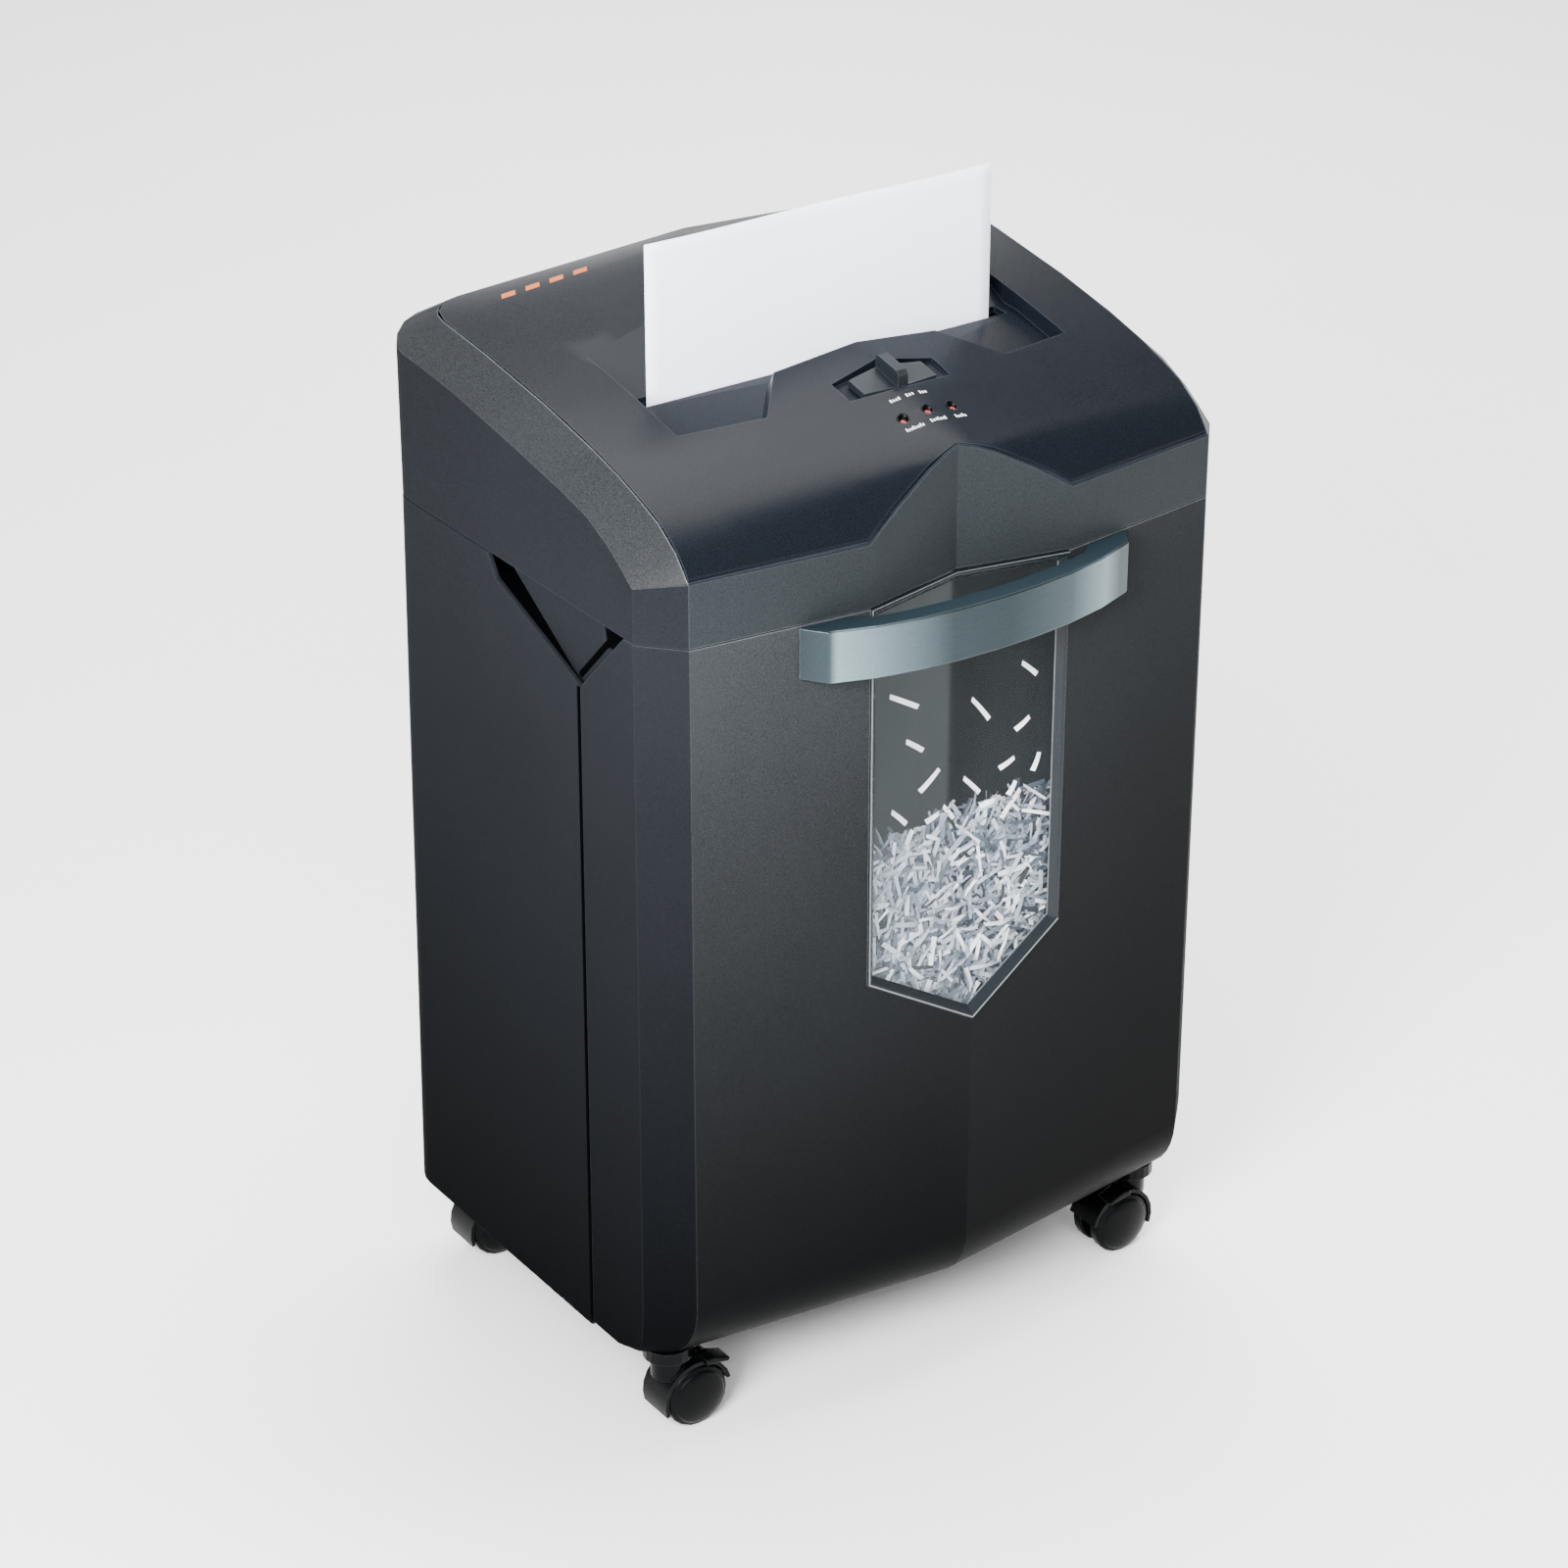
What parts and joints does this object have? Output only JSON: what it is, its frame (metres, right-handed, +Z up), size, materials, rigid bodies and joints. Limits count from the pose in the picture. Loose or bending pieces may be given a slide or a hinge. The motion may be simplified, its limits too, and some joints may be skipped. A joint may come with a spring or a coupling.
{
  "type": "paper shredder",
  "caption": "Office paper shredder on casters: curved head with a feed slot over a pull-out bin with a viewing window and a bar handle.",
  "frame": {"origin": "on the floor under the middle of the object's box", "axes": "+X to the right across the front, -Y out of the front towards the user, +Z up"},
  "size_m": [0.3492, 0.2904, 0.609],
  "materials": {
    "charcoal_plastic": "satin",
    "black_plastic": "satin",
    "grey_plastic": "matte",
    "clear_plastic": "gloss",
    "gunmetal_lacquer": "satin",
    "bright_steel": "satin",
    "zinc_plate": "satin",
    "white_acetal": "matte",
    "green_board": "matte",
    "smoked_red_lens": "gloss",
    "white_paper": "matte"
  },
  "bodies": {
    "cabinet": {"base_plate": "black_plastic", "cabinet_shell": "charcoal_plastic", "control_board": "green_board", "cord_gland": "black_plastic", "feed_guide": "grey_plastic", "grip_plate_left": "charcoal_plastic", "grip_plate_right": "charcoal_plastic", "head_base": "black_plastic", "head_shell": "charcoal_plastic", "idler_pin": "bright_steel", "interlock_switch": "black_plastic", "lamp_1": "smoked_red_lens", "lamp_2": "smoked_red_lens", "lamp_3": "smoked_red_lens", "motor_body": "zinc_plate", "motor_bracket": "zinc_plate", "side_plate_left": "zinc_plate", "side_plate_right": "zinc_plate", "stripper_front": "zinc_plate", "stripper_rear": "zinc_plate", "tie_rod_front": "bright_steel", "tie_rod_rear": "bright_steel", "top_panel": "charcoal_plastic"},
    "bin": {"bin_front": "charcoal_plastic", "bin_handle": "gunmetal_lacquer", "bin_tub": "grey_plastic", "bin_window": "clear_plastic", "handle_screw_left": "bright_steel", "handle_screw_right": "bright_steel", "shredded_paper": "white_paper", "window_bezel": "black_plastic"},
    "mode_switch": {"mode_switch": "black_plastic"},
    "front_cutter": {"cutter_front": "bright_steel", "gear_front": "white_acetal"},
    "rear_cutter": {"cutter_rear": "bright_steel", "gear_rear": "white_acetal"},
    "idler": {"idler_gear": "white_acetal"},
    "motor_shaft": {"motor_pinion": "bright_steel"},
    "sheet": {"paper_sheet": "white_paper"},
    "swivel_front_left": {"caster_hood_front_left": "black_plastic", "caster_stem_front_left": "bright_steel"},
    "wheels_front_left": {"caster_wheel_a_front_left": "black_plastic", "caster_wheel_b_front_left": "black_plastic"},
    "brake_front_left": {"caster_brake_front_left": "black_plastic"},
    "swivel_front_right": {"caster_hood_front_right": "black_plastic", "caster_stem_front_right": "bright_steel"},
    "wheels_front_right": {"caster_wheel_a_front_right": "black_plastic", "caster_wheel_b_front_right": "black_plastic"},
    "brake_front_right": {"caster_brake_front_right": "black_plastic"},
    "swivel_rear_left": {"caster_hood_rear_left": "black_plastic", "caster_stem_rear_left": "bright_steel"},
    "wheels_rear_left": {"caster_wheel_a_rear_left": "black_plastic", "caster_wheel_b_rear_left": "black_plastic"},
    "swivel_rear_right": {"caster_hood_rear_right": "black_plastic", "caster_stem_rear_right": "bright_steel"},
    "wheels_rear_right": {"caster_wheel_a_rear_right": "black_plastic", "caster_wheel_b_rear_right": "black_plastic"}
  },
  "joints": [
    {"name": "bin_slide", "type": "slide", "parent": "cabinet", "child": "bin", "axis": [0, -1, 0], "range_m": [0, 0.215]},
    {"name": "mode_switch_slide", "type": "slide", "parent": "cabinet", "child": "mode_switch", "axis": [1, 0, 0], "range_m": [-0.006, 0.006]},
    {"name": "sheet_slide", "type": "slide", "parent": "cabinet", "child": "sheet", "axis": [0, 0, 1], "range_m": [0, 0.085]},
    {"name": "rear_cutter_spin", "type": "hinge", "parent": "cabinet", "child": "rear_cutter", "pos_m": [0, 0.0182, 0.495], "axis": [1, 0, 0], "continuous": true},
    {"name": "front_cutter_spin", "type": "hinge", "parent": "cabinet", "child": "front_cutter", "pos_m": [0, -0.0118, 0.495], "axis": [1, 0, 0], "continuous": true},
    {"name": "idler_spin", "type": "hinge", "parent": "cabinet", "child": "idler", "pos_m": [0.136, 0.0477, 0.489], "axis": [1, 0, 0], "continuous": true},
    {"name": "motor_spin", "type": "hinge", "parent": "cabinet", "child": "motor_shaft", "pos_m": [0.1, 0.0817, 0.489], "axis": [1, 0, 0], "continuous": true},
    {"name": "swivel_front_left_turn", "type": "hinge", "parent": "cabinet", "child": "swivel_front_left", "pos_m": [-0.1515, -0.0753, 0.04], "axis": [0, 0, 1], "continuous": true},
    {"name": "wheels_front_left_roll", "type": "hinge", "parent": "swivel_front_left", "child": "wheels_front_left", "pos_m": [-0.14, -0.0753, 0.0178], "axis": [0, 1, 0], "continuous": true},
    {"name": "brake_front_left_press", "type": "hinge", "parent": "swivel_front_left", "child": "brake_front_left", "pos_m": [-0.137, -0.0753, 0.0412], "axis": [0, 1, 0], "range_deg": [0, 15]},
    {"name": "swivel_front_right_turn", "type": "hinge", "parent": "cabinet", "child": "swivel_front_right", "pos_m": [0.1515, -0.0753, 0.04], "axis": [0, 0, 1], "continuous": true},
    {"name": "wheels_front_right_roll", "type": "hinge", "parent": "swivel_front_right", "child": "wheels_front_right", "pos_m": [0.14, -0.0753, 0.0178], "axis": [0, 1, 0], "continuous": true},
    {"name": "brake_front_right_press", "type": "hinge", "parent": "swivel_front_right", "child": "brake_front_right", "pos_m": [0.137, -0.0753, 0.0412], "axis": [0, -1, 0], "range_deg": [0, 15]},
    {"name": "swivel_rear_left_turn", "type": "hinge", "parent": "cabinet", "child": "swivel_rear_left", "pos_m": [-0.1515, 0.1172, 0.04], "axis": [0, 0, 1], "continuous": true},
    {"name": "wheels_rear_left_roll", "type": "hinge", "parent": "swivel_rear_left", "child": "wheels_rear_left", "pos_m": [-0.14, 0.1172, 0.0178], "axis": [0, 1, 0], "continuous": true},
    {"name": "swivel_rear_right_turn", "type": "hinge", "parent": "cabinet", "child": "swivel_rear_right", "pos_m": [0.1515, 0.1172, 0.04], "axis": [0, 0, 1], "continuous": true},
    {"name": "wheels_rear_right_roll", "type": "hinge", "parent": "swivel_rear_right", "child": "wheels_rear_right", "pos_m": [0.14, 0.1172, 0.0178], "axis": [0, 1, 0], "continuous": true}
  ],
  "couplings": [
    {"joint": "front_cutter_spin", "follows": "rear_cutter_spin", "ratio": -1},
    {"joint": "idler_spin", "follows": "rear_cutter_spin", "ratio": -2.2},
    {"joint": "motor_spin", "follows": "rear_cutter_spin", "ratio": 7.7}
  ]
}
